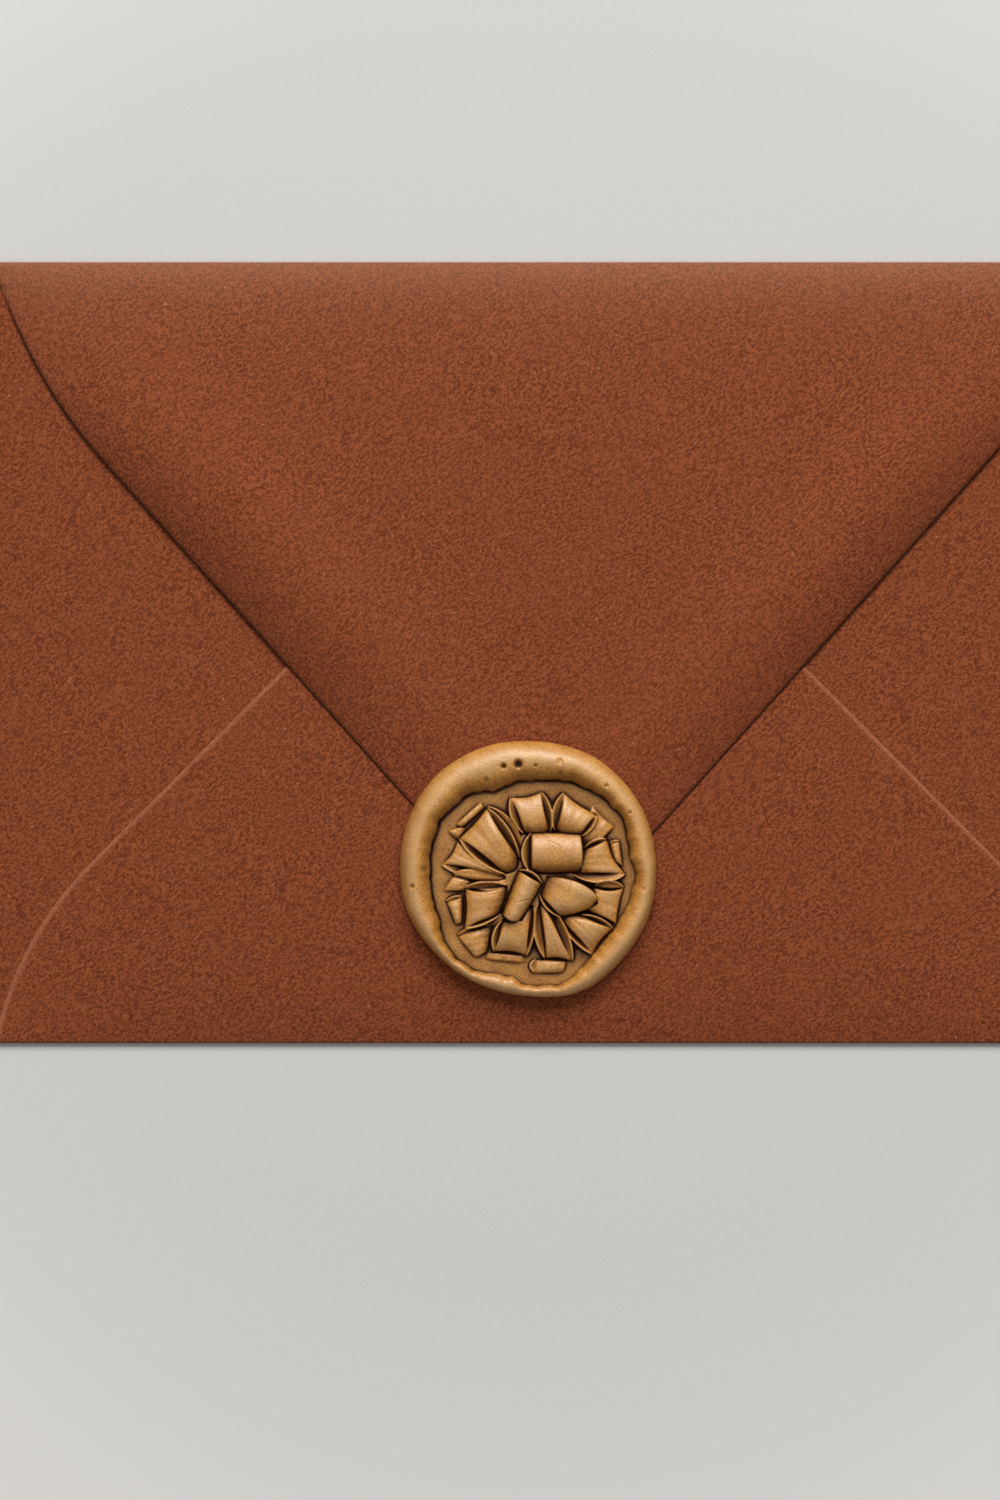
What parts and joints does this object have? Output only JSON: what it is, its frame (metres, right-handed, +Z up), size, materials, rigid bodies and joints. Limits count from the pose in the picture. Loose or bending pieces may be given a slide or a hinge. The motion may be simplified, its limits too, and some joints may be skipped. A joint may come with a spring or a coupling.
{
  "type": "paper envelope",
  "caption": "Closed paper envelope lying on its front, with a long pointed flap held by a round gold wax seal pressed with a gathered ribbon bow.",
  "frame": {"origin": "on the table under the middle of the envelope", "axes": "+X along the long side, +Y towards the fold of the pointed flap, +Z up out of the back"},
  "size_m": [0.162, 0.114, 0.0064],
  "materials": {
    "felt_paper": "matte, felt-marked terracotta",
    "gold_wax": "satin antique gold wax, darker in the recesses"
  },
  "bodies": {
    "root": {"envelope_sheet": "felt_paper", "wax_seal": "gold_wax"}
  },
  "joints": []
}
